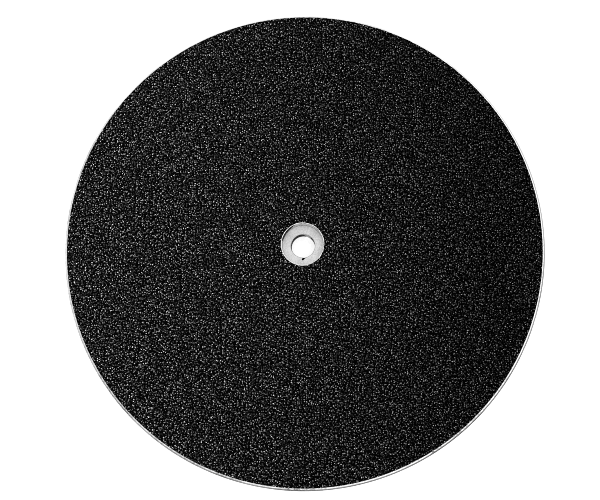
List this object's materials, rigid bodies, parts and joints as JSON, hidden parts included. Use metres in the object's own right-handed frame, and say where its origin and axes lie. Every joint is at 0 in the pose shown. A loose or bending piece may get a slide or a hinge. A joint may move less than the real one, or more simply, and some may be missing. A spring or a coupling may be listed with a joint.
{
  "type": "diamond grinding wheel",
  "caption": "Flat round lapidary wheel: a thin steel disc with a gritty black diamond face, bonded to a turned aluminium plate with a recessed bush and a plain arbor hole.",
  "frame": {"origin": "on the arbor hole's axis, in the plane of the back face", "axes": "+Z along the arbor hole's axis, from the back face to the abrasive face; the bush's small notch is on the -Y side"},
  "size_m": [0.254, 0.254, 0.0159],
  "materials": {
    "plate": "turned, satin",
    "bush": "faced, matt",
    "film": "matt black adhesive",
    "steel": "rolled, bright at the cut edge",
    "coating": "rough black metal bond full of glinting grit"
  },
  "bodies": {
    "root": {"backing_plate": "plate", "arbor_bush": "bush", "adhesive_film": "film", "carrier_disc": "steel", "diamond_coating": "coating"}
  },
  "joints": []
}
